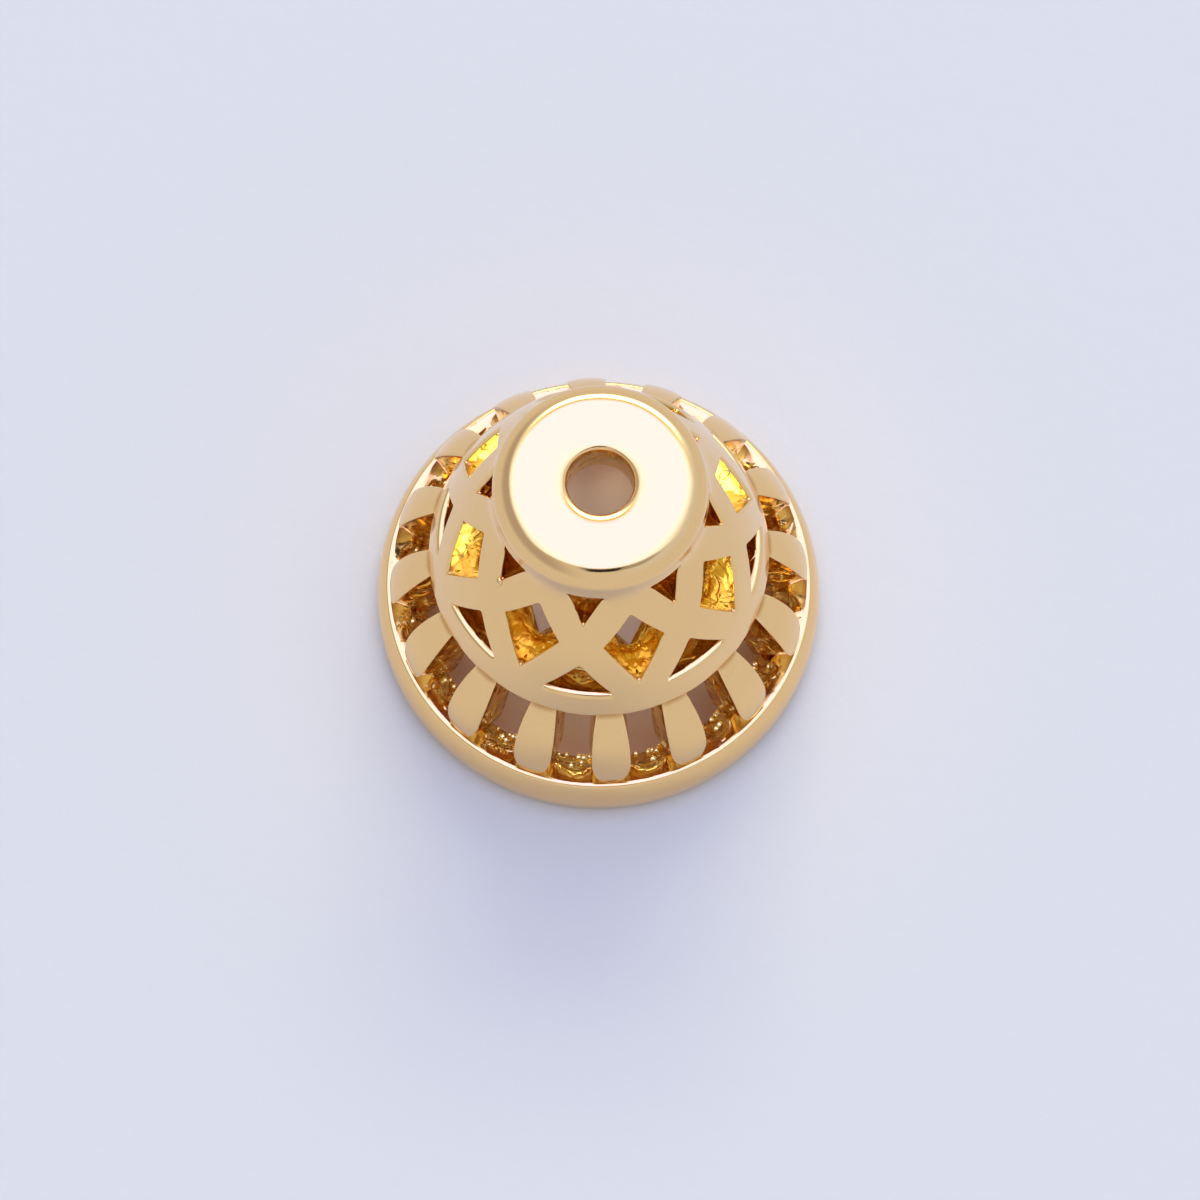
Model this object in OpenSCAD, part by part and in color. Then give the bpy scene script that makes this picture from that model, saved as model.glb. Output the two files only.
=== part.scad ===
// A cast bead cap: a round rim, teardrop petals, a pierced lattice dome and a rounded collar.
// It stands on its rim with its axis on Z. The origin is the centre of the rim's underside.

/* [Rim] */
// Outside diameter of the rim at its widest
rim_diameter = 12; // [10:0.1:18]
// Width of the rim from the open mouth to its widest line
rim_width = 1.3; // [1.1:0.05:1.8]
// Height of the rim's crest above the surface that it stands on
rim_height = 1.5; // [1.2:0.05:2.2]
// Height at which the rim is widest
rim_widest_height = 0.55; // [0.2:0.05:0.8]
// How far the crest lies inside the rim's widest line
crest_inset = 0.28; // [0.15:0.01:0.4]
// Width of the shelf just inside the crest
shelf_width = 0.4; // [0.2:0.01:0.5]
// Fall of the shelf towards the hollow, in degrees
shelf_fall = 7; // [0:1:20]
// Height of the rim at the mouth, where the slope below the shelf ends
mouth_edge_height = 0.85; // [0.5:0.05:1]

/* [Petals] */
// Number of petals
petal_count = 16; // [8:1:20]
// Width of a petal at its widest, near the lower end
petal_width = 1.04; // [0.6:0.02:1.2]
// Width of a petal where it meets the ring
petal_top_width = 0.64; // [0.4:0.02:0.8]
// Length of a petal's round end, from its tip to its widest place
petal_end = 0.9; // [0.7:0.05:1.2]
// Bulge of a petal's face beyond a straight line from the crest to the ring
petal_bulge = 0.32; // [0.1:0.01:0.4]
// Gap between a petal's lower tip and the crest, along the petal
tip_gap = 0.1; // [0:0.01:0.2]
// Slope at which the petals' sides run inwards and down, in degrees
petal_slope = 45; // [40:1:50]

/* [Dome] */
// Height of the open gaps between the petals, from the crest to the ring
gap_height = 2.6; // [2:0.1:4]
// How far the ring lies inside the rim's widest line
ring_inset = 1.49; // [1.3:0.01:1.8]
// Step by which the ring stands proud of the petals
ring_step = 0.1; // [0.05:0.01:0.2]
// Width of the plain ring between the gaps and the lattice
ring_band = 1.2; // [0.8:0.05:1.6]
// Height of the lattice above the ring, up to the dome's shoulder
lattice_height = 2.8; // [2:0.1:4]
// How far the shoulder lies inside the ring
shoulder_inset = 1.47; // [1.2:0.01:1.8]
// Bulge of the dome beyond a straight cone
dome_bulge = 0.14; // [0.05:0.01:0.3]
// Thickness of the dome's wall
wall = 0.9; // [0.6:0.05:1.1]

/* [Lattice] */
// Number of lattice units round the dome
unit_count = 8; // [6:1:10]
// Turn of the lattice and the petals about the axis, in degrees
pattern_turn = 0; // [-22:1:22]

/* [Collar] */
// Height of the crease at the collar's foot above the shoulder
crease_rise = 0.5; // [0.3:0.05:0.6]
// How far the crease lies inside the shoulder
crease_inset = 0.32; // [0.2:0.02:0.4]
// How far the collar swells beyond the crease
collar_swell = 0.02; // [0.01:0.01:0.1]
// Height of the collar above the crease
collar_height = 1.3; // [1.1:0.05:2]
// Radius of the collar's rounded outside edge
collar_round = 0.6; // [0.3:0.05:0.8]
// Diameter of the bore
bore_diameter = 1.7; // [1:0.1:2]
// Length of the bore, from the hollow to the top of the cap
bore_length = 1.25; // [0.9:0.05:1.5]
// Radius of the bore's rounded lip
lip_round = 0.2; // [0.1:0.05:0.4]

/* [Hidden] */
$fn = 96;
gold = [0.85, 0.68, 0.38];

// Depth by which pieces run into each other, and by which cutters run clear
overlap = 0.3;
// Depth by which a petal's face starts below the crest
sink = 0.05;
// Reach of a window's cutter on the inner and the outer side of the dome's face, in walls
cut_inwards = 1.8;
cut_outwards = 1.2;
// Largest share of the collar's top that its rounded edge takes
edge_share = 0.6;
// Narrowest flat ring left between the rounded edge and the bore's lip
top_flat = 0.02;

rim_radius = rim_diameter / 2;
mouth_radius = rim_radius - rim_width;
crest_radius = rim_radius - crest_inset;
ring_radius = rim_radius - ring_inset;
ring_height = rim_height + gap_height;
band_height = ring_height + ring_band;
shoulder_radius = ring_radius - shoulder_inset;
shoulder_height = band_height + lattice_height;
crease_radius = shoulder_radius - crease_inset;
crease_height = shoulder_height + crease_rise;
collar_radius = crease_radius + collar_swell;
cap_height = crease_height + collar_height;
bore_radius = bore_diameter / 2;
ceiling_height = cap_height - bore_length;
// The rounded edge and the bore's lip share the width of the collar's top
collar_width = collar_radius - bore_radius;
edge_round = min(collar_round, collar_width * edge_share);
lip = min(lip_round, collar_width - edge_round - top_flat);

// Corners of each window in one lattice unit, in rows of [angle, height]. Angles are shares of
// half a unit. Heights are shares of the way from the plain ring up to the collar's crease.
lower_triangle = [[-0.58, -0.07], [0.58, -0.07], [0, 0.3]];
diamond = [[0, 0.055], [0.58, 0.52], [0, 0.83], [-0.58, 0.52]];
upper_triangle = [[0, 0.74], [0.43, 1.065], [-0.43, 1.065]];

// Radius of the circle that bulges by rise over a straight line from a to b
function bulge_radius(a, b, rise) = (norm(b - a) ^ 2 / 4 + rise ^ 2) / (2 * rise);
// Direction square to the line from a to b, on its right
function square_to(a, b) = [b[1] - a[1], a[0] - b[0]] / norm(b - a);
// Centre of the circle that bulges by rise, to the left of the line from a to b
function bulge_centre(a, b, rise) = (a + b) / 2 - square_to(a, b) * (bulge_radius(a, b, rise) - rise);

// The dome's long curve, from the ring's lower edge to the shoulder
ring_point = [ring_radius, ring_height];
shoulder_point = [shoulder_radius, shoulder_height];
crease_point = [crease_radius, crease_height];
dome_centre = bulge_centre(ring_point, shoulder_point, dome_bulge);
dome_curve = bulge_radius(ring_point, shoulder_point, dome_bulge);
// Share of the shoulder's slope that lies above the height z
function above(z) = (z - shoulder_height) / crease_rise;
// Radius of the dome, the shoulder's slope or the collar's side at the height z
function dome_radius(z) =
    z > crease_height ? crease_radius + collar_swell * (z - crease_height) / (collar_height - edge_round)
    : z > shoulder_height ? shoulder_radius - crease_inset * above(z)
    : dome_centre[0] + sqrt(dome_curve ^ 2 - (z - dome_centre[1]) ^ 2);

// A petal's side view: its face bulges from just below the crest up into the ring
petal_low = [crest_radius - sink, rim_height - sink];
petal_high = [dome_radius(ring_height + overlap / 2) - ring_step, ring_height + overlap / 2];
petal_length = (petal_high - petal_low) * [-sin(petal_slope), cos(petal_slope)];

// The part of a circle that bulges beyond the line from a to b, with the land behind it
module bulged_side(a, b, rise, behind) {
    out = square_to(a, b) * rise * 2;
    intersection() {
        translate(bulge_centre(a, b, rise))
            circle(bulge_radius(a, b, rise));
        polygon(concat([a, a + out, b + out, b], behind));
    }
}

// Section of the rim: the convex outside wall, the crest, the shelf and the slope to the mouth
module rim_section() {
    rise = rim_height - rim_widest_height;
    curve = (rise ^ 2 + crest_inset ^ 2) / (2 * crest_inset);
    shelf_inner = [crest_radius - shelf_width, rim_height - shelf_width * tan(shelf_fall)];
    inside = mouth_radius - overlap;
    intersection() {
        translate([rim_radius - curve, rim_widest_height])
            circle(curve);
        polygon([
            [inside, 0], [rim_radius + overlap, 0],
            [rim_radius + overlap, rim_height + (crest_inset + overlap) * tan(shelf_fall)],
            shelf_inner, [mouth_radius, mouth_edge_height], [inside, mouth_edge_height]
        ]);
    }
}

// Section of the dome and the collar, filled to the axis
module dome_section() {
    bulged_side(ring_point, shoulder_point, dome_bulge, [[0, shoulder_height], [0, ring_height]]);
    round_height = cap_height - edge_round;
    polygon([
        [0, ring_height], ring_point, shoulder_point, crease_point,
        [collar_radius, round_height], [0, round_height]
    ]);
    translate([collar_radius - edge_round, round_height])
        circle(edge_round);
    translate([0, shoulder_height])
        square([collar_radius - edge_round, cap_height - shoulder_height]);
}

// Section of a petal, filled inwards
module petal_section() {
    inside = mouth_radius - rim_width;
    low = rim_height - shelf_width;
    bulged_side(petal_low, petal_high, petal_bulge, [[inside, petal_high[1]], [inside, low], [petal_low[0], low]]);
}

// Section of the hollow with the bore and its rounded lip
module hollow_section() {
    slope = atan2(shoulder_inset, shoulder_height - ring_height);
    across = wall / cos(slope);
    polygon([
        [0, -overlap], [mouth_radius, -overlap], [mouth_radius, mouth_edge_height],
        [ring_radius - across, ring_height], [shoulder_radius - across, shoulder_height],
        [crease_radius - wall - crease_rise, ceiling_height], [0, ceiling_height]
    ]);
    square([bore_radius, cap_height + overlap]);
    difference() {
        translate([0, cap_height - lip])
            square([bore_radius + lip, lip + overlap]);
        translate([bore_radius + lip, cap_height - lip])
            circle(lip);
    }
}

// The lens between two circles of one radius, from the height low to the height high
module lens(half_width, radius, low, high) {
    intersection() {
        translate([half_width - radius, 0])
            circle(radius);
        translate([radius - half_width, 0])
            circle(radius);
        translate([-half_width, low])
            square([2 * half_width, high - low]);
    }
}

// Teardrop outline of a petal, lying along Y with its round end below. The end's side circles
// have the curve that an ellipse has there, and a small circle that touches both rounds the tip.
module petal_outline() {
    half = petal_width / 2;
    widest = tip_gap + petal_end;
    narrowing = (petal_width - petal_top_width) / 2;
    upper_side = ((petal_length - widest) ^ 2 + narrowing ^ 2) / (2 * narrowing);
    lower_side = petal_end ^ 2 / half;
    tip = half * (petal_end + half) / (2 * petal_end);
    touch = lower_side * (petal_end - tip) / (lower_side - tip);
    translate([0, widest]) {
        lens(half, upper_side, 0, petal_length + overlap - widest);
        lens(half, lower_side, -touch, 0);
        translate([0, tip - petal_end])
            circle(tip);
    }
}

// All the petals, cut from one turned band by upright teardrops
module petals() {
    depth = rim_width + wall;
    intersection() {
        rotate_extrude()
            petal_section();
        for (i = [0 : petal_count - 1])
            rotate(-90 + (i + 0.5) * 360 / petal_count)
                translate([petal_low[0], 0, petal_low[1]])
                    rotate([0, -petal_slope, 0])
                        rotate([90, 0, 90])
                            translate([0, 0, -depth])
                                linear_extrude(depth + petal_length)
                                    petal_outline();
    }
}

// Cutter for one window. It goes in square to the dome at the window's mean height.
module window_cutter(corners) {
    half_unit = 180 / unit_count;
    heights = [for (c = corners) band_height + c[1] * (crease_height - band_height)];
    angles = [for (c = corners) c[0] * half_unit];
    middle = (min(heights) + max(heights)) / 2;
    low = [dome_radius(min(heights)), min(heights)];
    high = [dome_radius(max(heights)), max(heights)];
    out = square_to(low, high);
    tilt = atan2(out[1], out[0]);
    radius = dome_radius(middle);
    outline = [
        for (i = [0 : len(corners) - 1])
            let (r = dome_radius(heights[i]))
            [
                r * sin(angles[i]),
                (heights[i] - middle) * cos(tilt) - (r * cos(angles[i]) - radius) * sin(tilt)
            ]
    ];
    translate([radius, 0, middle])
        rotate([0, -tilt, 0])
            rotate([90, 0, 90])
                translate([0, 0, -wall * cut_inwards])
                    linear_extrude(wall * (cut_inwards + cut_outwards))
                        polygon(outline);
}

// All the windows: the triangles in one line, the diamonds half a unit round from them
module windows() {
    for (i = [0 : unit_count - 1])
        rotate(-90 + i * 360 / unit_count) {
            window_cutter(lower_triangle);
            window_cutter(upper_triangle);
            rotate(180 / unit_count)
                window_cutter(diamond);
        }
}

module bead_cap() {
    color(gold)
        rotate(pattern_turn)
            difference() {
                union() {
                    rotate_extrude()
                        rim_section();
                    rotate_extrude()
                        dome_section();
                    petals();
                }
                rotate_extrude()
                    hollow_section();
                windows();
            }
}

bead_cap();
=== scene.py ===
import bmesh
import bpy
import numpy as np
from mathutils import Matrix, Vector


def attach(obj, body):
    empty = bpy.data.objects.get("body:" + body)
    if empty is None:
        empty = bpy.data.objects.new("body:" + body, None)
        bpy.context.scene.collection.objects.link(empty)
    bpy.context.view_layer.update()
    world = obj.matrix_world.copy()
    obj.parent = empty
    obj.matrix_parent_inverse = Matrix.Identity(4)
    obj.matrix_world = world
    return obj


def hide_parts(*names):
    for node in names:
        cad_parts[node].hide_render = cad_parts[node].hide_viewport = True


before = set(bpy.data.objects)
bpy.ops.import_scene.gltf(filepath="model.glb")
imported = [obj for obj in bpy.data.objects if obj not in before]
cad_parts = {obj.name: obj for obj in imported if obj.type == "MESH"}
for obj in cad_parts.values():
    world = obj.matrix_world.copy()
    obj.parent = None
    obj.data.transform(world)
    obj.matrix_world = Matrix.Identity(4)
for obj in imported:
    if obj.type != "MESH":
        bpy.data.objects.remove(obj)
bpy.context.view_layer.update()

# The rim. A cast ring that the whole cap stands on: a convex outside wall up to a crisp crest, a
# narrow shelf just inside it, and a rough slope down to the open mouth. It is cast brass, plated
# and tumbled to a shine where the tumbling media reach, and left as cast inside.
# Sizes here are in mm, and MM turns them into Blender's metres.
MM = 0.001
RIM_RADIUS, MOUTH_RADIUS, CREST_RADIUS = 6.0, 4.7, 5.72
RIM_HEIGHT, WIDEST_HEIGHT, MOUTH_EDGE = 1.5, 0.55, 0.84
CREST_FLAT, SHELF_WIDTH, SHELF_FALL = 0.12, 0.4, np.radians(8)
SHELF_FOOT, CREST_ROUND, FOOT_ROUND, FOOT_REACH = 1.45, 0.03, 0.09, 0.2
FILLET_START, FILLET_END, FILLET_RADIUS, FILLET_BLEND = 0.26, 0.46, 5.08, 0.24
POLISH_DEPTH, SHADE_LINE_WIDTH, SHADE_LINE_TONE = 0.06, 0.03, 0.8
SLOPE_CRUMPLE, SLOPE_SHADE, UNDERSIDE_SHINE, SKIN_FADE = 0.7, 0.35, 5.42, 0.1
BEAD_LEAN, BEAD_FLATNESS, BEAD_RISE = np.radians(13), 0.26, 0.06
EDGE_BEADS, SLOPE_BEADS = 104, 40
OUTLINE_POINTS, SECTION_ROWS, SECTION_BEND = 2048, 130, 0.12
AROUND = 192
PETALS = 16
FRONT = -90
FIRST_PETAL = np.radians(FRONT + 180 / PETALS)


def evenly(corners, count):
    """Points at equal steps of length along the closed outline through the corners."""
    loop = np.vstack([corners, corners[:1]])
    length = np.concatenate([[0.0], np.cumsum(np.hypot(*np.diff(loop, axis=0).T))])
    at = np.linspace(0, length[-1], count, endpoint=False)
    return np.stack([np.interp(at, length, loop[:, k]) for k in (0, 1)], axis=1), length


def fading(distance, width):
    """0 where distance is negative, 1 from width on, and an even rise between."""
    return np.clip(distance / width, 0, 1)


def smooth(share):
    """A rise from 0 to 1 that starts and ends level: 3 share squared less 2 share cubed."""
    return share**2 * (3 - 2 * share)


def softened(points, spread):
    """Rounds the corners of an evenly spaced closed outline. Each point becomes the mean of its
    neighbours under a bell curve whose width is spread, in steps of the outline."""
    wave = np.fft.fftfreq(len(points))
    bell = np.exp(-2 * (np.pi * wave * spread) ** 2)
    return np.fft.ifft(np.fft.fft(points, axis=0) * bell[:, None], axis=0).real


def gathered(points, count, bend):
    """Count points of an open line, closer together where it turns. They stand at equal steps of
    the running length plus bend times the angle turned so far."""
    step = np.diff(points, axis=0)
    length = np.hypot(*step.T)
    heading = np.unwrap(np.arctan2(step[:, 1], step[:, 0]))
    turn = np.abs(np.gradient(heading))
    run = np.concatenate([[0.0], np.cumsum(length + bend * turn)])
    at = np.linspace(0, run[-1], count)
    return np.stack([np.interp(at, run, points[:, k]) for k in (0, 1)], axis=1)


def turned(section, angles):
    """Surface of revolution: the section's point (r, z) goes to (r cos a, r sin a, z) at each
    angle a."""
    r, z = section[None, :, 0], section[None, :, 1]
    a = angles[:, None]
    return np.stack([r * np.cos(a), r * np.sin(a), z + 0 * a], axis=-1)


def squares(rows, columns, rows_closed, columns_closed):
    """Corner numbers of the squares of a grid whose point (i, j) is number i * columns + j."""
    i = np.arange(rows if rows_closed else rows - 1)[:, None]
    j = np.arange(columns if columns_closed else columns - 1)[None, :]
    i_next, j_next = (i + 1) % rows, (j + 1) % columns
    return np.stack(
        [i * columns + j, i_next * columns + j, i_next * columns + j_next, i * columns + j_next],
        axis=-1,
    ).reshape(-1, 4)


def casting(name, grids):
    """One smooth closed mesh from grids of (points in mm, finish and shade shares, rows closed,
    columns closed). Each point has three shares: as cast, crumpled and painted crevice shade. The
    grids' shared edges are welded, and the faces are turned outwards."""
    points, skins_and_shades, faces, count = [], [], [], 0
    for grid, skin_and_shade, rows_closed, columns_closed in grids:
        points.append(grid.reshape(-1, 3))
        skins_and_shades.append(np.broadcast_to(skin_and_shade, grid.shape).reshape(-1, 3))
        faces.append(squares(*grid.shape[:2], rows_closed, columns_closed) + count)
        count += len(points[-1])
    points, skins_and_shades, faces = np.vstack(points) * MM, np.vstack(skins_and_shades), np.vstack(faces)
    mesh = bpy.data.meshes.new(name)
    mesh.vertices.add(len(points))
    mesh.vertices.foreach_set("co", points.ravel())
    mesh.loops.add(faces.size)
    mesh.loops.foreach_set("vertex_index", faces.ravel().astype(np.int32))
    mesh.polygons.add(len(faces))
    mesh.polygons.foreach_set("loop_start", np.arange(0, faces.size, 4, dtype=np.int32))
    mesh.attributes.new("skin_and_shade", "FLOAT_VECTOR", "POINT").data.foreach_set("vector", skins_and_shades.ravel())
    mesh.update(calc_edges=True)
    work = bmesh.new()
    work.from_mesh(mesh)
    bmesh.ops.remove_doubles(work, verts=work.verts, dist=2e-4 * MM)
    bmesh.ops.dissolve_degenerate(work, edges=work.edges, dist=1e-5 * MM)
    bmesh.ops.recalc_face_normals(work, faces=work.faces)
    work.to_mesh(mesh)
    work.free()
    mesh.polygons.foreach_set("use_smooth", np.ones(len(mesh.polygons), dtype=bool))
    mesh.update()
    piece = bpy.data.objects.new(name, mesh)
    bpy.context.scene.collection.objects.link(piece)
    return piece


class Tone:
    """One output socket of a material's nodes. Sums, differences and products of it with numbers
    or with other tones add Math nodes."""

    def __init__(self, tree, socket=None):
        self.tree, self.socket = tree, socket

    def node(self, kind, settings=(), inputs=(), output=0):
        """A node of the given kind: its settings first, then the values or links of its inputs."""
        made = self.tree.nodes.new(kind)
        for key, value in dict(settings).items():
            setattr(made, key, value)
        for key, value in dict(inputs).items():
            if isinstance(value, Tone):
                self.tree.links.new(value.socket, made.inputs[key])
            else:
                made.inputs[key].default_value = value
        return Tone(self.tree, made.outputs[output] if len(made.outputs) else None)

    def maths(self, operation, a, b=0.0):
        """A Math node's result for a and b."""
        return self.node("ShaderNodeMath", {"operation": operation}, {0: a, 1: b})

    def __add__(self, other):
        return self.maths("ADD", self, other)

    __radd__ = __add__

    def __mul__(self, other):
        return self.maths("MULTIPLY", self, other)

    __rmul__ = __mul__

    def __sub__(self, other):
        return self.maths("SUBTRACT", self, other)

    def __rsub__(self, other):
        return self.maths("SUBTRACT", other, self)


def new_material(name):
    """An empty node material and the Tone that its nodes are added from."""
    material = bpy.data.materials.new(name)
    material.use_nodes = True
    material.node_tree.nodes.clear()
    return material, Tone(material.node_tree)


def ramp(tone, value, start, end):
    """0 below start and 1 above end, with a smooth step between them."""
    return tone.node("ShaderNodeMapRange", {"interpolation_type": "SMOOTHSTEP"},
                     {"Value": value, "From Min": start, "From Max": end})


def blend(tone, share, first, second):
    """The first colour where share is 0 and the second where it is 1."""
    ends = [c if isinstance(c, Tone) else (*c, 1) for c in (first, second)]
    return tone.node(
        "ShaderNodeMix", {"data_type": "RGBA"}, {0: share, 6: ends[0], 7: ends[1]}, output=2
    )


POLISHED_GOLD, CAST_GOLD, CRUMPLED_GOLD = (0.935, 0.625, 0.275), (0.98, 0.81, 0.36), (1.0, 0.71, 0.13)
# The amber patches are the metal's own random tone; the crease and crevice colours are painted shade.
AMBER_PATCH, PAINTED_CREASE_SHADE, PAINTED_CREVICE_SHADE = (0.72, 0.29, 0.02), (0.40, 0.14, 0.02), (0.42, 0.17, 0.02)


def plated_gold(name):
    """Thin gold plate over cast brass. The outside is tumbled smooth, with a faint waviness and a
    fine haze. As cast, the metal is yellower in colour and crumpled, with sharp creases between
    rounded folds, drops, painted shade along the creases and amber patches. Crevices get a line of
    painted shade."""
    material, tone = new_material(name)
    place = tone.node("ShaderNodeTexCoord", output="Object")
    skin_and_shade = tone.node("ShaderNodeAttribute", {"attribute_name": "skin_and_shade"}, output="Vector")
    # The third share darkens crevices with painted shade.
    cast, crumple, crevice = [
        tone.node("ShaderNodeSeparateXYZ", (), {"Vector": skin_and_shade}, output=k) for k in range(3)]

    def noise(size_mm, detail, roughness=0.5, distortion=0.0):
        """A noise between 0 and 1 whose lumps are about size_mm across."""
        return tone.node(
            "ShaderNodeTexNoise", (),
            {"Vector": place, "Scale": 1 / (size_mm * MM), "Detail": detail,
             "Roughness": roughness, "Distortion": distortion},
        )

    waviness = noise(1.6, 1)
    haze = noise(0.12, 3)
    folds = noise(1.0, 1, 0.5, 0.7) - 0.5
    folds = folds.maths("ABSOLUTE", folds)
    drops = ramp(tone, noise(0.5, 1, 0.5, 0.5), 0.54, 0.64)
    patches = cast * (0.1 + 0.75 * crumple) * ramp(tone, noise(0.6, 1, 0.5, 0.9), 0.49, 0.53)
    # painted shade in the valleys of the crumpled folds
    crease_shade = crumple * (1 - ramp(tone, folds, 0.006, 0.025))
    colour = blend(tone, cast, POLISHED_GOLD, CAST_GOLD)
    colour = blend(tone, crumple, colour, CRUMPLED_GOLD)
    colour = blend(tone, patches, colour, AMBER_PATCH)
    colour = blend(tone, crease_shade * 0.7, colour, PAINTED_CREASE_SHADE)
    colour = blend(tone, crevice, colour, PAINTED_CREVICE_SHADE)
    roughness = 0.07 + 0.05 * haze + 0.12 * crumple
    height_mm = waviness * 0.026 + haze * 0.0006 + crumple * (folds * 0.3 + drops * 0.08)
    bump = tone.node(
        "ShaderNodeBump", (), {"Height": height_mm * MM, "Distance": 1.0, "Strength": 1.0}
    )
    shader = tone.node(
        "ShaderNodeBsdfPrincipled", (),
        {"Base Color": colour, "Metallic": 1.0, "Roughness": roughness, "Normal": bump},
    )
    tone.node("ShaderNodeOutputMaterial", (), {"Surface": shader})
    return material


gold = plated_gold("plated_gold")


def finish_piece(piece):
    """The piece takes the gold plate, stands for the solid cap and stays with its body."""
    piece.data.materials.append(gold)
    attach(piece, "root")
    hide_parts("bead_cap")


def rim_section():
    """The rim's closed outline: a circular arc for the wall, then the corners of shelf, slope,
    mouth and underside in turn."""
    rise, inset = RIM_HEIGHT - WIDEST_HEIGHT, RIM_RADIUS - CREST_RADIUS
    curve = (rise**2 + inset**2) / (2 * inset)
    low, high = -np.arcsin(WIDEST_HEIGHT / curve), np.arcsin(rise / curve)
    a = np.linspace(low, high, 60)
    wall = np.stack(
        [RIM_RADIUS - curve + curve * np.cos(a), WIDEST_HEIGHT + curve * np.sin(a)], axis=1
    )
    crest = [CREST_RADIUS - CREST_FLAT, RIM_HEIGHT]
    shelf = [CREST_RADIUS - SHELF_WIDTH, RIM_HEIGHT - SHELF_WIDTH * np.tan(SHELF_FALL)]
    return np.vstack([wall, [crest, shelf, [MOUTH_RADIUS, MOUTH_EDGE], [MOUTH_RADIUS, 0.0]]])


# The outline's corners are rounded a little, and more at the slope's two ends
section, length = evenly(rim_section(), OUTLINE_POINTS)
step = length[-1] / OUTLINE_POINTS
ends = (CREST_RADIUS - SHELF_WIDTH, SHELF_FOOT), (MOUTH_RADIUS, MOUTH_EDGE)
from_ends = [np.hypot(section[:, 0] - r, section[:, 1] - z) for r, z in ends]
worn = np.exp(-((np.minimum(*from_ends) / FOOT_REACH) ** 4))[:, None]
crisp, soft = softened(section, CREST_ROUND / step), softened(section, FOOT_ROUND / step)
section = crisp * (1 - worn) + soft * worn
section[:, 1] -= section[:, 1].min()
section = gathered(np.vstack([section, section[:1]]), SECTION_ROWS, SECTION_BEND)[:-1]
angles = np.linspace(0, 2 * np.pi, 2 * AROUND, endpoint=False)
surface = turned(section, angles)

# Fillets carry the shelf further in on both sides of each petal. There the slope rises to the
# shelf's plane, by a smooth step in the angle and in the radius. Media have polished what lies in
# that plane, and a line of painted shade runs just below it. The as-cast slope is painted darker
# with painted shade too. The upper side is the shelf and the slope.
place = (angles - FIRST_PETAL) * PETALS / (2 * np.pi)
from_petal = np.abs((place + 0.5) % 1 - 0.5)
beside = smooth(fading(FILLET_END - from_petal, FILLET_END - FILLET_START))
r, z = section.T
level = RIM_HEIGHT - (CREST_RADIUS - CREST_FLAT - r) * np.tan(SHELF_FALL)
outer_slope = smooth(fading(r - FILLET_RADIUS + FILLET_BLEND / 2, FILLET_BLEND))
upper_side = (z > MOUTH_EDGE - 0.05) & (r < CREST_RADIUS - CREST_FLAT / 2)
lift = np.maximum(level - z, 0) * outer_slope * upper_side
surface[:, :, 2] += beside[:, None] * lift
below = np.where(upper_side, level - surface[:, :, 2], 0)
rough = np.where(upper_side, fading(below, POLISH_DEPTH), fading(UNDERSIDE_SHINE - r, SKIN_FADE))
# a line of painted shade just below the polished plane, and painted shade over the as-cast slope
line = SHADE_LINE_TONE * np.exp(-(((below - POLISH_DEPTH) / SHADE_LINE_WIDTH) ** 2)) * upper_side
skin_and_shade = np.stack([rough, SLOPE_CRUMPLE * rough, np.maximum(line, SLOPE_SHADE * rough)], axis=-1)


def bead(r, z, a, size, lean, flatness):
    """One bead of metal at the place (r, angle a, z), as a grid of (round) by (from pole to pole):
    a ball flattened along an axis that leans outwards from upright."""
    outward, sideways = np.array([np.cos(a), np.sin(a), 0]), np.array([-np.sin(a), np.cos(a), 0])
    upward = np.array([0, 0, 1.0])
    axis = outward * np.sin(lean) + upward * np.cos(lean)
    across = outward * np.cos(lean) - upward * np.sin(lean)
    turn = np.linspace(0, 2 * np.pi, 8, endpoint=False)[:, None, None]
    tilt = np.linspace(0, np.pi, 7)[None, :, None]
    ball = np.sin(tilt) * (np.cos(turn) * across + np.sin(turn) * sideways)
    return outward * r + upward * z + size * (ball + flatness * np.cos(tilt) * axis)


def bead_grids():
    """Beads left by the mould's bubbles, strewn along the mouth's edge and thinly over the slope.
    Share is how far up the slope each lies. They go to the gaps between the petals in turn."""
    strewn = np.random.default_rng(4)
    share = np.concatenate(
        [strewn.uniform(0.0, 0.1, EDGE_BEADS), strewn.uniform(0.12, 0.7, SLOPE_BEADS)]
    )
    r = MOUTH_RADIUS + 0.02 + share * (CREST_RADIUS - SHELF_WIDTH - MOUTH_RADIUS)
    z = MOUTH_EDGE + BEAD_RISE + share * (SHELF_FOOT - MOUTH_EDGE)
    gap = np.arange(len(share)) % PETALS
    aside = strewn.uniform(-0.24, 0.24, len(gap))
    a = np.radians(FRONT) + (gap + aside) * 2 * np.pi / PETALS
    size = np.concatenate(
        [strewn.uniform(0.05, 0.1, EDGE_BEADS), strewn.uniform(0.06, 0.12, SLOPE_BEADS)]
    )
    return [(bead(*place, BEAD_LEAN, BEAD_FLATNESS), np.array([1.0, 0, 0]), True, False)
            for place in zip(r, z, a, size)]


rim = casting("rim", [(surface, skin_and_shade, True, True)] + bead_grids())
finish_piece(rim)

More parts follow.
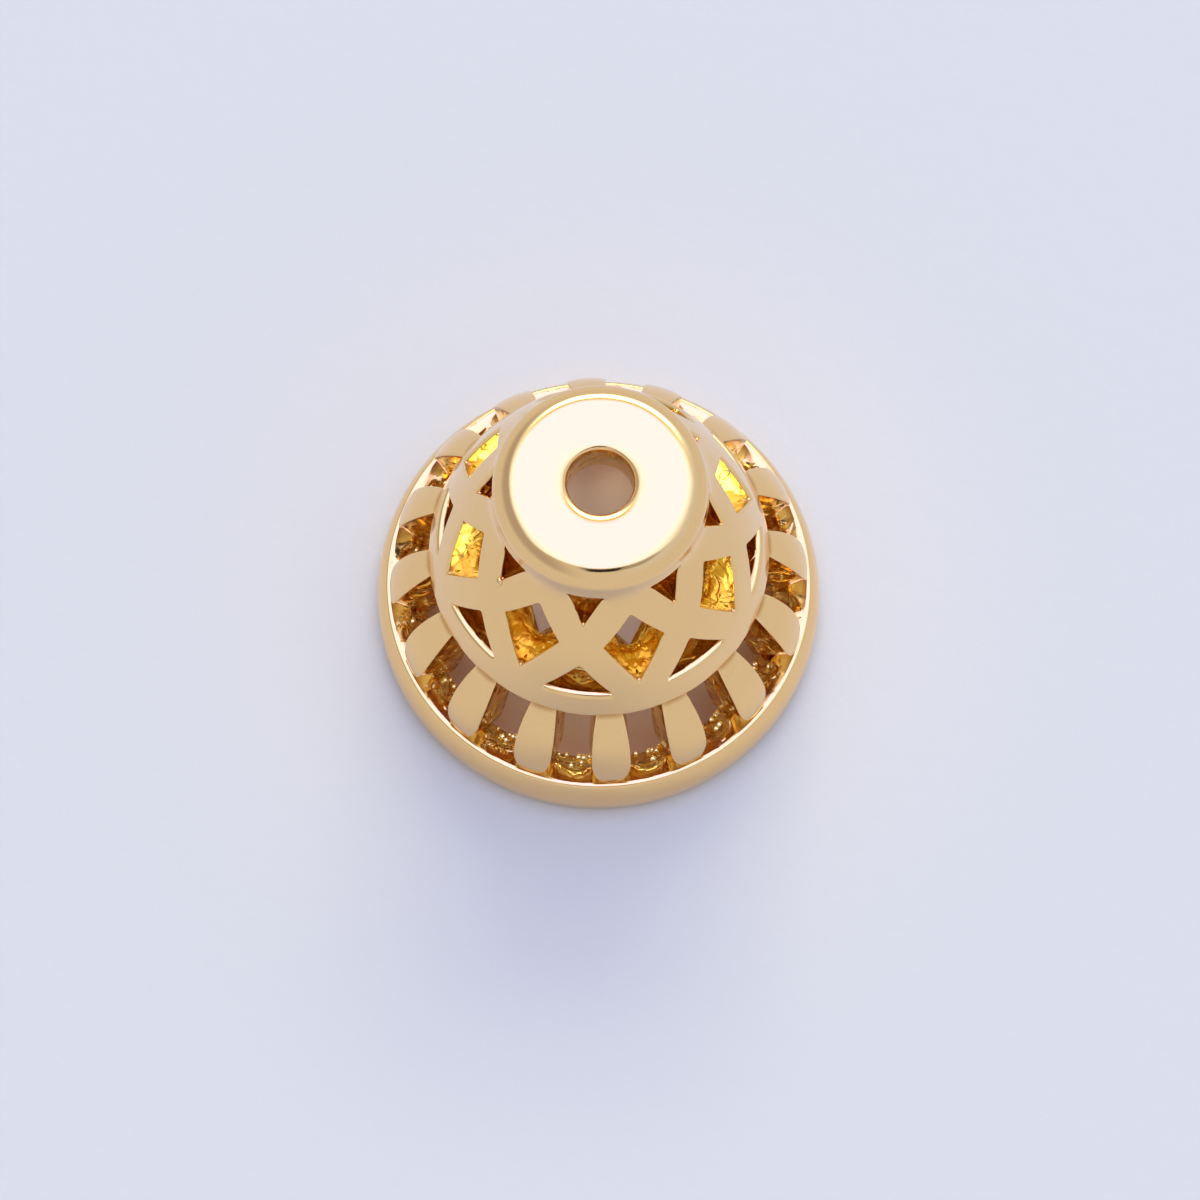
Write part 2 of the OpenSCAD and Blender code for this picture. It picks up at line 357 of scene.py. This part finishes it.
# The petals. Sixteen teardrop ribs that lean from the rim's shelf up under the ring, cast in one
# with both. Each has a crowned face, a rounded edge and plain side walls running inwards and down.
PETAL_WIDTH, PETAL_TOP_WIDTH, PETAL_END, TIP_GAP = 1.04, 0.64, 0.9, 0.1
PETAL_BULGE, PETAL_CROWN, PETAL_EDGE, PETAL_SLOPE = 0.32, 0.06, 0.055, np.radians(45)
PETAL_LOW, PETAL_HIGH = np.array([5.67, SHELF_FOOT]), np.array([4.372, 4.25])
PETAL_ROUND, RIDGE_START, UNDER_RING, EDGE_SLOPE = 0.02, 0.62, 0.3, np.radians(22)
PETAL_POINTS, PETAL_COLUMNS, PETAL_BEND, RING_SHADOW_TONE = 1024, 73, 0.25, 0.5
RING_HEIGHT, RING_RADIUS, SHOULDER_RADIUS, SHOULDER_HEIGHT, WALL = 4.1, 4.51, 3.04, 8.1, 0.9
up_slope = np.array([-np.sin(PETAL_SLOPE), np.cos(PETAL_SLOPE)])
out_of_slope = np.array([np.cos(PETAL_SLOPE), np.sin(PETAL_SLOPE)])
petal_length = (PETAL_HIGH - PETAL_LOW) @ up_slope
# The dome's wall, measured level, is thicker than square to its slope
dome_slope = np.arctan2(RING_RADIUS - SHOULDER_RADIUS, SHOULDER_HEIGHT - RING_HEIGHT)
level_wall = WALL / np.cos(dome_slope)


def petal_outline(top):
    """Right half of the teardrop from its tip to the height top, then its mirror image. The tip
    is a small circle that touches two long arcs, and two longer arcs narrow towards the ring."""
    half, widest = PETAL_WIDTH / 2, TIP_GAP + PETAL_END
    narrowing = (PETAL_WIDTH - PETAL_TOP_WIDTH) / 2
    upper = ((petal_length - widest) ** 2 + narrowing**2) / (2 * narrowing)
    lower = PETAL_END**2 / half
    tip = half * (PETAL_END + half) / (2 * PETAL_END)
    touch = lower * (PETAL_END - tip) / (lower - tip)
    meet = np.arcsin((PETAL_END - tip - touch) / tip)
    a = np.linspace(-np.pi / 2, meet, 40)
    circle = np.stack([tip * np.cos(a), widest + tip - PETAL_END + tip * np.sin(a)], axis=1)
    y = np.linspace(widest - touch, widest, 40)[1:]
    side = np.stack([half - lower + np.sqrt(lower**2 - (y - widest) ** 2), y], axis=1)
    y = np.linspace(widest, top, 40)[1:]
    neck = np.stack([half - upper + np.sqrt(upper**2 - (y - widest) ** 2), y], axis=1)
    right = np.vstack([circle, side, neck])
    return np.vstack([right, (right * [-1, 1])[::-1][:-1]])


def face_height(y):
    """Height of the petal's ridge over the slope's plane: a circular arc from the crest's foot to
    the ring, bulging by PETAL_BULGE over its chord."""
    chord = PETAL_HIGH - PETAL_LOW
    span = np.hypot(*chord)
    radius = (span**2 / 4 + PETAL_BULGE**2) / (2 * PETAL_BULGE)
    outward = np.array([chord[1], -chord[0]]) / span
    centre = chord / 2 - outward * (radius - PETAL_BULGE)
    along, across = centre @ up_slope, centre @ out_of_slope
    return across + np.sqrt(np.maximum(radius**2 - (y - along) ** 2, 0))


def inner_height(y):
    """Height of the hollow's cone over the slope's plane, a straight line in y."""
    ends = np.array([[MOUTH_RADIUS, MOUTH_EDGE], [RING_RADIUS - level_wall, RING_HEIGHT]]) - PETAL_LOW
    low, high = ends @ up_slope, ends @ out_of_slope
    return high[0] + (y - low[0]) * (high[1] - high[0]) / (low[1] - low[0])


def petal_grid():
    """One petal as a grid of (place round the teardrop) by (place from the ridge over the edge and
    down the wall to the middle of the inner face). The face drops from its ridge by the square of
    the way out, and the edge is a quarter round that goes on from the face's slope."""
    top = petal_length + UNDER_RING
    outline, length = evenly(petal_outline(top), PETAL_POINTS)
    outline = softened(outline, PETAL_ROUND / (length[-1] / PETAL_POINTS))
    outline = gathered(np.vstack([outline, outline[:1]]), PETAL_COLUMNS, PETAL_BEND)[:-1]
    ahead = np.roll(outline, -1, axis=0) - np.roll(outline, 1, axis=0)
    normal = np.stack([ahead[:, 1], -ahead[:, 0]], axis=1) / np.hypot(*ahead.T)[:, None]
    ridge = np.stack([0 * outline[:, 0], np.clip(outline[:, 1], RIDGE_START, top - 0.35)], axis=1)
    rows = []
    inset = outline - normal * PETAL_EDGE * (1 - np.sin(EDGE_SLOPE))
    for share in np.linspace(0, 1, 9):
        at = ridge + (inset - ridge) * share
        rows.append((at, face_height(at[:, 1]) - PETAL_CROWN * share**2, (0, 0, 0)))
    edge_height = face_height(inset[:, 1]) - PETAL_CROWN
    for a in np.linspace(EDGE_SLOPE, np.pi / 2, 7)[1:]:
        at = outline - normal * PETAL_EDGE * (1 - np.sin(a))
        drop = PETAL_EDGE * (np.cos(EDGE_SLOPE) - np.cos(a))
        # the lower part of the rounded edge is as cast and takes painted crevice shade
        cast = fading(a - 1.0, 0.5)
        rows.append((at, edge_height - drop, (cast, 0, cast)))
    top_of_wall = rows[-1][1]
    floor = inner_height(outline[:, 1])
    # the side walls' tops take painted crevice shade that fades downwards
    for share in (0.08, 0.2, 0.4, 0.6, 0.8, 1.0):
        rows.append((outline, top_of_wall + (floor + 0.06 - top_of_wall) * share,
                     (1, share, max(0, 1 - share * 4))))
    for share in (0.9, 0.6, 0.3, 0.0):
        at = ridge + (outline - ridge) * share
        rows.append((at, inner_height(at[:, 1]), (1, 1, 0)))
    grid = np.stack(
        [np.stack([
            PETAL_LOW[0] + at[:, 1] * up_slope[0] + height * out_of_slope[0],
            at[:, 0],
            PETAL_LOW[1] + at[:, 1] * up_slope[1] + height * out_of_slope[1],
        ], axis=1) for at, height, _ in rows], axis=1)
    skin_and_shade = np.broadcast_to(np.array([skin_and_shade for _, _, skin_and_shade in rows], dtype=float), grid.shape).copy()
    # painted shadow of the ring over the petals' tops
    ring_shadow = fading(grid[:, :, 2] - RING_HEIGHT + 0.07, 0.06)
    skin_and_shade[:, :, 2] = np.maximum(skin_and_shade[:, :, 2], RING_SHADOW_TONE * ring_shadow)
    return grid, skin_and_shade


def spun(grid, count, first):
    """Copies of a grid, each turned by an equal share of the circle about the axis from first."""
    for a in first + 2 * np.pi * np.arange(count) / count:
        turn = np.array([[np.cos(a), np.sin(a), 0], [-np.sin(a), np.cos(a), 0], [0, 0, 1]])
        yield grid @ turn


grid, skin_and_shade = petal_grid()
petals = casting("petals", [
    (copy, skin_and_shade, True, False) for copy in spun(grid, PETALS, FIRST_PETAL)
])
finish_piece(petals)

# The dome and the collar, one form of the same casting. A plain ring stands proud of the petals.
# Above it straps cross in a pierced lattice of eight units, each with a triangle at the ring, a
# diamond and a small triangle under the collar, a thick rounded disc with the cord's bore in it.
BAND_HEIGHT, CREASE_RADIUS, CREASE_HEIGHT = 5.3, 2.78, 8.66
DISH, DISH_REACH = 0.045, 0.4
DRIP_HEIGHT, DRIP_TURN, DRIP_SIZE = 7.7, np.radians(-135), 0.13
DRIP_LEAN, DRIP_FLATNESS = np.radians(40), 0.6
COLLAR_RADIUS, CAP_HEIGHT, COLLAR_ROUND = 2.74, 9.9, 0.6
BORE_RADIUS, LIP_ROUND, CEILING_HEIGHT, DOME_BULGE = 0.85, 0.12, 8.65, 0.14
UNITS = 8
HALF_UNIT = np.pi / UNITS
WINDOW_EDGE, LOWER_EDGE, INNER_EDGE, CORNER_ROUND = 0.06, 0.08, 0.05, 0.04
LEDGE, LEDGE_TURN, EDGE_SHADE_LINE = 0.05, np.radians(64), 0.5
CELL_LOW, CELL_CROSS, CELL_TOP = 4.68, 7.14, 9.08
INNER_LOW, INNER_TOP = 4.48, 8.60
SIDE_POINTS = AROUND // UNITS
FINE, DOME_ROUND, FLARE_ROUND, FLARE_HEIGHT, FLARE_REACH = 8192, 0.04, 0.22, 8.4, 0.7
FIELD_ROWS, FIELD_GATHER, WALL_CRUMPLE, INSIDE_CRUMPLE, FOOT_SHADE_LINE = 9, 1.3, 0.12, 0.6, 0.7
OVER_ROWS, UNDER_ROWS, STRETCH_BEND = 84, 34, 0.15
# Each window: its turn in half units, the draft of its lower and its other walls in degrees, how
# much painted shade darkens it inside, its corners as (share of half a unit, share of the lattice's
# height), and the corners of the field of straps round it as (share of half a unit, height)
WINDOWS = {
    "lower_triangle": (0, (2, 2), 0.42, [(-0.58, -0.07), (0.58, -0.07), (0, 0.3)],
                       [(-1, CELL_LOW), (1, CELL_LOW), (0, CELL_CROSS)]),
    "diamond": (1, (18, 6), 0.0, [(0, 0.055), (0.58, 0.51), (0, 0.815), (-0.58, 0.51)],
                [(0, CELL_LOW), (1, CELL_CROSS), (0, CELL_TOP), (-1, CELL_CROSS)]),
    "upper_triangle": (0, (2, 2), 0.3, [(0, 0.725), (0.43, 1.045), (-0.43, 1.045)],
                       [(0, CELL_CROSS), (1, CELL_TOP), (-1, CELL_TOP)]),
}


def arc(centre, radius, start, end, count=24):
    """Points on a circle about centre from the angle start to the angle end, in degrees."""
    a = np.radians(np.linspace(start, end, count))
    return np.stack([centre[0] + radius * np.cos(a), centre[1] + radius * np.sin(a)], axis=1)


def dome_section():
    """The closed outline of dome and collar, from the ring's inner foot outwards, up the bulged
    dome to the crease, over the collar, down the bore and back along the hollow."""
    foot = np.array([RING_RADIUS, RING_HEIGHT])
    shoulder = np.array([SHOULDER_RADIUS, SHOULDER_HEIGHT])
    chord = shoulder - foot
    span = np.hypot(*chord)
    radius = (span**2 / 4 + DOME_BULGE**2) / (2 * DOME_BULGE)
    outward = np.array([chord[1], -chord[0]]) / span
    centre = (foot + shoulder) / 2 - outward * (radius - DOME_BULGE)
    ends = [np.degrees(np.arctan2(*(p - centre)[::-1])) for p in (foot, shoulder)]
    top = np.linspace(2.0, BORE_RADIUS + 1.4 * LIP_ROUND, 30)
    return np.vstack([
        [[RING_RADIUS - level_wall, RING_HEIGHT]],
        arc(centre, radius, *ends, count=80),
        [[CREASE_RADIUS, CREASE_HEIGHT]],
        arc((COLLAR_RADIUS - COLLAR_ROUND, CAP_HEIGHT - COLLAR_ROUND), COLLAR_ROUND, 0, 90),
        np.stack([top, CAP_HEIGHT - DISH * np.exp(-(top - BORE_RADIUS) / DISH_REACH)], axis=1),
        arc((BORE_RADIUS + LIP_ROUND, CAP_HEIGHT - DISH - LIP_ROUND), LIP_ROUND, 80, 180),
        [[BORE_RADIUS, CEILING_HEIGHT], [CREASE_RADIUS - WALL - 0.4, CEILING_HEIGHT],
         [SHOULDER_RADIUS - level_wall, SHOULDER_HEIGHT]],
    ])


# The dome flares into the collar, so the outline is far softer near the crease than elsewhere
section, length = evenly(dome_section(), FINE)
step = length[-1] / FINE
crisp, soft = softened(section, DOME_ROUND / step), softened(section, FLARE_ROUND / step)
flare = np.exp(-(((section[:, 1] - FLARE_HEIGHT) / FLARE_REACH) ** 4))
flare *= section[:, 0] > CREASE_RADIUS - 0.1
section = crisp + (soft - crisp) * flare[:, None]
run = np.arange(FINE)


def place_of(height, side):
    """Place on the outline, in steps, where the given side passes the height."""
    where = run[side]
    z = section[side, 1]
    order = np.argsort(z)
    return np.interp(height, z[order], where[order])


# The outline's rising outside, and its way back along the hollow from the ceiling's corner
rising = (run > np.argmax(section[:, 0])) & (run < np.argmax(section[:, 1]))
hollow = run > length[-3] / step


def outline_at(place):
    """(r, z) at a place on the outline, by linear interpolation between its fine points."""
    return (np.interp(place, run, section[:, 0]), np.interp(place, run, section[:, 1]))


def on_surface(x, place):
    """The point at the tangential distance x on the circle that the outline's place sweeps."""
    r, z = outline_at(place)
    return np.stack([np.sqrt(r**2 - x**2), x, z], axis=-1)


def window_grid(window, cell, drafts):
    """One window's field as a grid of (place round the window) by (place from the middle of the
    straps over the rounded edge, through the wall and back along the hollow to the straps'
    middle). The window is a softened polygon, and it goes in square to the dome. The second
    result holds, for each place across, how much as cast it is and how dark a line of painted shade
    it has."""
    heights = BAND_HEIGHT + np.array([c[1] for c in window]) * (CREASE_HEIGHT - BAND_HEIGHT)
    places = place_of(heights, rising)
    radii = outline_at(places)[0]
    corners = np.stack([radii * np.sin(HALF_UNIT * np.array([c[0] for c in window])),
                        places * step], axis=1)
    outline, length = evenly(corners, OUTLINE_POINTS)
    outline = softened(outline, CORNER_ROUND / (length[-1] / OUTLINE_POINTS))
    ahead = np.roll(outline, -1, axis=0) - np.roll(outline, 1, axis=0)
    normal = np.stack([ahead[:, 1], -ahead[:, 0]], axis=1) / np.hypot(*ahead.T)[:, None]
    share = np.arange(SIDE_POINTS) / SIDE_POINTS
    at = (length[:-1, None] + np.diff(length)[:, None] * share).reshape(-1) / length[-1]
    x, v, normal_x, normal_v = [
        np.interp(at * OUTLINE_POINTS, np.arange(OUTLINE_POINTS + 1), np.append(c, c[0]))
        for c in (*outline.T, *normal.T)]
    lower = np.clip(-normal_v, 0, 1)
    edge = WINDOW_EDGE + LOWER_EDGE * lower
    # the field's border, with even steps of angle and of length along the outline
    border = np.array([(c[0] * HALF_UNIT, place_of(c[1], rising)) for c in cell])
    border = np.vstack([border, border[:1]])
    border = border[:-1, None, :] + np.diff(border, axis=0)[:, None, :] * share[None, :, None]
    angle, outer = border.reshape(-1, 2).T
    inner = np.interp(outer, [place_of(CELL_LOW, rising), place_of(CELL_TOP, rising)],
                      [place_of(INNER_LOW, hollow), place_of(INNER_TOP, hollow)])
    border_x = outline_at(outer)[0] * np.sin(angle)
    inner_x = outline_at(inner)[0] * np.sin(angle)

    low, high = heights.min(), heights.max()
    ends = np.array([outline_at(place_of(h, rising)) for h in (low, high)])
    along = (ends[1] - ends[0]) / np.hypot(*(ends[1] - ends[0]))
    out = np.array([along[1], 0.0, -along[0]])
    wall_z, wall_r = section[hollow, 1], section[hollow, 0]
    order = np.argsort(wall_z)

    def edge_point(offset):
        """The window's outline moved outwards by offset, on the dome's surface."""
        return on_surface(x + normal_x * offset, (v + normal_v * offset) / step)

    def depth_to_hollow(start):
        """How far each point goes along the window's direction to the hollow, by halving."""
        near, far = np.full(len(start), 0.2), np.full(len(start), 2.6)
        for _ in range(40):
            middle = (near + far) / 2
            p = start - middle[:, None] * out
            inside = np.hypot(p[:, 0], p[:, 1]) < np.interp(p[:, 2], wall_z[order], wall_r[order])
            near, far = np.where(inside, near, middle), np.where(inside, middle, far)
        return far

    rows, shares = [], []
    first_x, first_v = x + normal_x * edge, v + normal_v * edge
    for s in 1 - (1 - np.linspace(0, 1, FIELD_ROWS)) ** FIELD_GATHER:
        rows.append(on_surface(border_x + (first_x - border_x) * s,
                               outer + (first_v / step - outer) * s))
        shares.append((0.0, 0.0))
    # the rounded edge, with a narrow ledge in it along the window's foot
    ledge = LEDGE * lower**3
    steps = (13, 0), (26, 0), (38, 0), (51, 0), (63, 0), (65, 1), (77, 1), (90, 1)
    # the edge's lower part takes a line of painted shade, and so does the wall's top below it
    for degrees, on_ledge in steps:
        a = np.radians(degrees)
        offset = edge * (1 - np.sin(a)) - on_ledge * ledge * np.cos(LEDGE_TURN)
        sunk = edge * (1 - np.cos(a)) + on_ledge * ledge * np.sin(LEDGE_TURN)
        rows.append(edge_point(offset) - sunk[:, None] * out)
        shares.append((fading(a - 1.15, 0.3), EDGE_SHADE_LINE * (a > 1.3)))
    x, v = x + normal_x * offset, v + normal_v * offset
    depth = depth_to_hollow(edge_point(0.0))
    lower_draft, draft = np.tan(np.radians(drafts))
    narrowed = (depth - sunk) * (draft + (lower_draft - draft) * lower)
    depth = depth_to_hollow(edge_point(-narrowed))
    for s in (0.05, 0.15, 0.4, 0.7, 1.0):
        far_in = sunk + (depth - sunk - INNER_EDGE) * s
        rows.append(edge_point(-narrowed * s) - far_in[:, None] * out)
        shares.append((1.0, EDGE_SHADE_LINE * (s < 0.1)))
    for a in np.radians([45, 90]):
        start = edge_point(INNER_EDGE * (1 - np.cos(a)) - narrowed)
        depth = depth_to_hollow(start)
        rows.append(start - (depth - INNER_EDGE * (1 - np.sin(a)))[:, None] * out)
        shares.append((1.0, 0.0))
    last = rows[-1]
    last_place = np.interp(last[:, 2], wall_z[order], run[hollow][order])
    for s in (0.2, 0.4, 0.6, 0.8, 1.0):
        rows.append(on_surface(last[:, 1] + (inner_x - last[:, 1]) * s,
                               last_place + (inner - last_place) * s))
        shares.append((1.0, 0.0))
    return np.stack(rows, axis=1), np.array(shares)


grids = []
for turn, drafts, inner_shade, window, cell in WINDOWS.values():
    grid, shares = window_grid(window, cell, drafts)
    rough, line = shares.T
    # painted shade inside the window's as-cast wall, and the line of painted shade at its edge
    skin_and_shade = np.stack([rough, WALL_CRUMPLE * rough, np.maximum(inner_shade * rough, line)], axis=1)
    grids += [(copy, skin_and_shade[None], True, False)
              for copy in spun(grid, UNITS, np.radians(FRONT) + turn * HALF_UNIT)]


def stretch(start, end, count, bend):
    """Points of the outline from the place start on to the place end, closer where it turns."""
    if end < start:
        end += FINE
    places = np.concatenate([[start], np.arange(np.ceil(start + 1), end), [end]])
    r, z = [np.interp(places % FINE, np.append(run, FINE), np.append(c, c[0])) for c in section.T]
    return gathered(np.stack([r, z], axis=1), count, bend)


# What lies past the windows' fields: over the collar and down the bore to the hollow, and from the
# hollow's foot out under the ring. The bore and the hollow are as cast, and the ring's foot has a
# line of painted shade.
angles = np.radians(FRONT) - HALF_UNIT + 2 * np.pi * np.arange(AROUND) / AROUND
over = stretch(place_of(CELL_TOP, rising), place_of(INNER_TOP, hollow), OVER_ROWS, STRETCH_BEND)
under = stretch(place_of(INNER_LOW, hollow), place_of(CELL_LOW, rising), UNDER_ROWS, STRETCH_BEND)
in_bore = fading(BORE_RADIUS + 0.15 - over[:, 0], SKIN_FADE) * (over[:, 1] < CAP_HEIGHT - 0.25)
in_hollow = fading(CEILING_HEIGHT + 0.1 - over[:, 1], SKIN_FADE) * (np.arange(OVER_ROWS) > 30)
rough_over = np.maximum(0.4 * in_bore, in_hollow)
rough_under = fading(RING_RADIUS - 0.3 - under[:, 0], SKIN_FADE)
# painted shade along the ring's foot
foot = fading(RING_HEIGHT + 0.06 - under[:, 1], 0.05) * (1 - rough_under)
skin_over = rough_over[:, None] * [1, INSIDE_CRUMPLE, 0]
skin_and_shade_under = rough_under[:, None] * [1, INSIDE_CRUMPLE, 0] + foot[:, None] * [0, 0, FOOT_SHADE_LINE]
drip_r, drip_z = outline_at(place_of(DRIP_HEIGHT, rising))
drip = bead(drip_r, drip_z, DRIP_TURN, DRIP_SIZE, DRIP_LEAN, DRIP_FLATNESS)
grids += [(turned(over, angles), skin_over[None], True, False),
          (turned(under, angles), skin_and_shade_under[None], True, False),
          (drip, np.zeros(3), True, False)]
dome = casting("dome_and_collar", grids)
finish_piece(dome)

# The stage. A pale sheet under the cap, in a light tent: a big soft panel above and a little
# behind it, pale walls, and the dark front of the camera. The cap is a mirror and shows them all.
TURN = np.radians(6.76)
SHEET_HALF = 3.0
# SHEET is the paper's own colour. The others are painted on it as light and shade: warm painted shade
# under the cap, and painted light in its middle and round the cap, where it lifts the cap's shadow.
SHEET, LIT_NEAR_SHEET = (0.637, 0.645, 0.62), (0.66, 0.666, 0.633)
SHADED_SHEET, LIT_CENTRE_SHEET = (1.0, 0.73, 0.56), (1.0, 0.81, 0.69)
CENTRE_LIGHT_EDGE, SHADE_EDGE, NEAR_LIGHT_EDGE = (0.0028, 0.0042), (0.0046, 0.0058), (0.008, 0.014)
PANEL, PANEL_SIDES, PANEL_BEHIND = (1.6, 1.50, 3.05), (1.5, 1.58, 2.6), (8.6, 8.1, 5.8)
PANEL_FRINGE = (1.1, 1.32, 1.7)
CAMERA_FRONT, SEAM = (0.02, 0.02, 0.02), (0.7, 0.62, 0.42)
LOW_WALLS, HIGH_WALLS, LEFT_WALL = (0.708, 0.73, 0.847), (0.70, 0.78, 1.05), (0.475, 0.462, 0.545)


def sheet_material(name):
    """Matt paper with a fine grain. Light and shade are painted on it: under the cap, painted warm
    shade stands for the light that comes off gold, painted light makes the middle less warm, and
    painted light makes it a little paler round the cap."""
    material, tone = new_material(name)
    place = tone.node("ShaderNodeTexCoord", output="Object")
    grain = tone.node("ShaderNodeTexNoise", (), {"Vector": place, "Scale": 1500.0, "Detail": 3.0})
    away = tone.node("ShaderNodeVectorMath", {"operation": "LENGTH"}, {0: place}, output=1)
    # painted warm shade under the cap, painted light in its middle and round the cap
    under = 1 - ramp(tone, away, *SHADE_EDGE)
    colour = blend(tone, 1 - ramp(tone, away, *NEAR_LIGHT_EDGE), SHEET, LIT_NEAR_SHEET)
    shaded = blend(tone, ramp(tone, away, *CENTRE_LIGHT_EDGE), LIT_CENTRE_SHEET, SHADED_SHEET)
    colour = blend(tone, under, colour, shaded)
    bump = tone.node("ShaderNodeBump", (), {"Height": grain * 0.00002, "Distance": 1.0})
    shader = tone.node(
        "ShaderNodeBsdfPrincipled", (), {"Base Color": colour, "Roughness": 0.8, "Normal": bump}
    )
    tone.node("ShaderNodeOutputMaterial", (), {"Surface": shader})
    return material


mesh = bpy.data.meshes.new("floor")
corners = [(SHEET_HALF * i, SHEET_HALF * j, 0) for i, j in ((-1, -1), (1, -1), (1, 1), (-1, 1))]
mesh.from_pydata(corners, [], [(0, 1, 2, 3)])
mesh.materials.append(sheet_material("floor_sheet"))
floor = bpy.data.objects.new("floor", mesh)
bpy.context.scene.collection.objects.link(floor)

# The tent's light by direction: x to the right of the picture, y away from the camera, z up. The
# panel is a soft-edged oblong in x / z and y / z, far brighter behind, with a dim seam across it. The
# left wall is dimmer higher up. The camera's front is a dark square with a fainter patch on its
# right. Each pair says where a soft edge starts and ends.
PANEL_RIGHT, PANEL_LEFT, PANEL_MIDDLE = (0.16, 0.85), (-0.85, -0.15), (0.0, 0.25)
PANEL_NEAR, PANEL_FAR, PANEL_BACK = (-0.33, -0.2), (1.3, 1.9), (0.5, 0.9)
SEAM_NEAR, SEAM_FAR = (0.44, 0.66), (0.7, 0.98)
CAMERA_NEAR, CAMERA_FAR = (-0.68, -0.60), (-0.37, -0.31)
CAMERA_SIDE, PATCH_SIDE, PATCH_SHARE = (0.12, 0.2), (0.2, 0.45), 0.45
world = bpy.data.worlds.new("light_tent")
world.use_nodes = True
world.node_tree.nodes.clear()
tone = Tone(world.node_tree)
way = tone.node("ShaderNodeTexCoord", output="Generated")
way = tone.node("ShaderNodeMapping", {"vector_type": "POINT"},
                {"Vector": way, "Rotation": (0.0, 0.0, -TURN)})
x, y, z = [tone.node("ShaderNodeSeparateXYZ", (), {"Vector": way}, output=k) for k in range(3)]
height = tone.maths("MAXIMUM", z, 0.05)
across, away = x.maths("DIVIDE", x, height), y.maths("DIVIDE", y, height)
sides = (1 - ramp(tone, x, *PANEL_RIGHT)) * ramp(tone, across, *PANEL_LEFT)
panel = sides * ramp(tone, away, *PANEL_NEAR) * (1 - ramp(tone, away, *PANEL_FAR))
behind = ramp(tone, away, *PANEL_BACK)
left = ramp(tone, 0 - x, 0.1, 0.6) * ramp(tone, z, 0.1, 0.55)
body = 1 - ramp(tone, tone.maths("ABSOLUTE", across - 0.03), *CAMERA_SIDE)
patch = 1 - ramp(tone, tone.maths("ABSOLUTE", across - 0.3), *PATCH_SIDE)
front = ramp(tone, away, *CAMERA_NEAR) * (1 - ramp(tone, away, *CAMERA_FAR))
front = front * (body + PATCH_SHARE * patch)
light = blend(tone, ramp(tone, z, 0.2, 0.7) * ramp(tone, x, 0.1, 0.5), LOW_WALLS, HIGH_WALLS)
light = blend(tone, left, light, LEFT_WALL)
over = blend(tone, ramp(tone, tone.maths("ABSOLUTE", across), *PANEL_MIDDLE), PANEL, PANEL_SIDES)
light = blend(tone, ramp(tone, panel, 0.0, 0.7), light, PANEL_FRINGE)
light = blend(tone, ramp(tone, panel, 0.5, 1.0), light, blend(tone, behind, over, PANEL_BEHIND))
seam = panel * ramp(tone, away, *SEAM_NEAR) * (1 - ramp(tone, away, *SEAM_FAR))
light = blend(tone, seam, light, SEAM)
light = blend(tone, front, light, CAMERA_FRONT)
tone.node("ShaderNodeOutputWorld", (), {"Surface": tone.node(
    "ShaderNodeBackground", (), {"Color": light, "Strength": 1.0})})
bpy.context.scene.world = world
bpy.context.scene.view_settings.view_transform = "Standard"
# Light that finds its way into the hollow bounces many times from wall to wall
bpy.context.scene.cycles.max_bounces = bpy.context.scene.cycles.glossy_bounces = 24

# The camera, twenty rim radii from the cap, above its front and looking down at about 73 degrees.
# It was fitted to points of the photograph, and its shift and its small roll come from there too.
ELEVATION, ROLL = np.radians(72.5776), np.radians(1.0256)
DISTANCE, SHIFT_X, SHIFT_Y, LENS = 20.0, -0.0076678, 0.0058549, 131.86
right = Vector((1, 0, 0))
up = Vector((0, np.sin(ELEVATION), np.cos(ELEVATION)))
ahead = Vector((0, np.cos(ELEVATION), -np.sin(ELEVATION)))
place = (-SHIFT_X * right - SHIFT_Y * up - DISTANCE * ahead) * RIM_RADIUS * MM
rolled_right = right * np.cos(ROLL) + up * np.sin(ROLL)
rolled_up = up * np.cos(ROLL) - right * np.sin(ROLL)
lens = bpy.data.cameras.new("camera")
lens.lens, lens.sensor_width = LENS, 36.0
lens.clip_start, lens.clip_end = 0.01, 20.0
camera = bpy.data.objects.new("camera", lens)
camera.matrix_world = (
    Matrix.Rotation(TURN, 4, "Z") @ Matrix.Translation(place)
    @ Matrix((rolled_right, rolled_up, -ahead)).transposed().to_4x4()
)
bpy.context.scene.collection.objects.link(camera)
bpy.context.scene.camera = camera
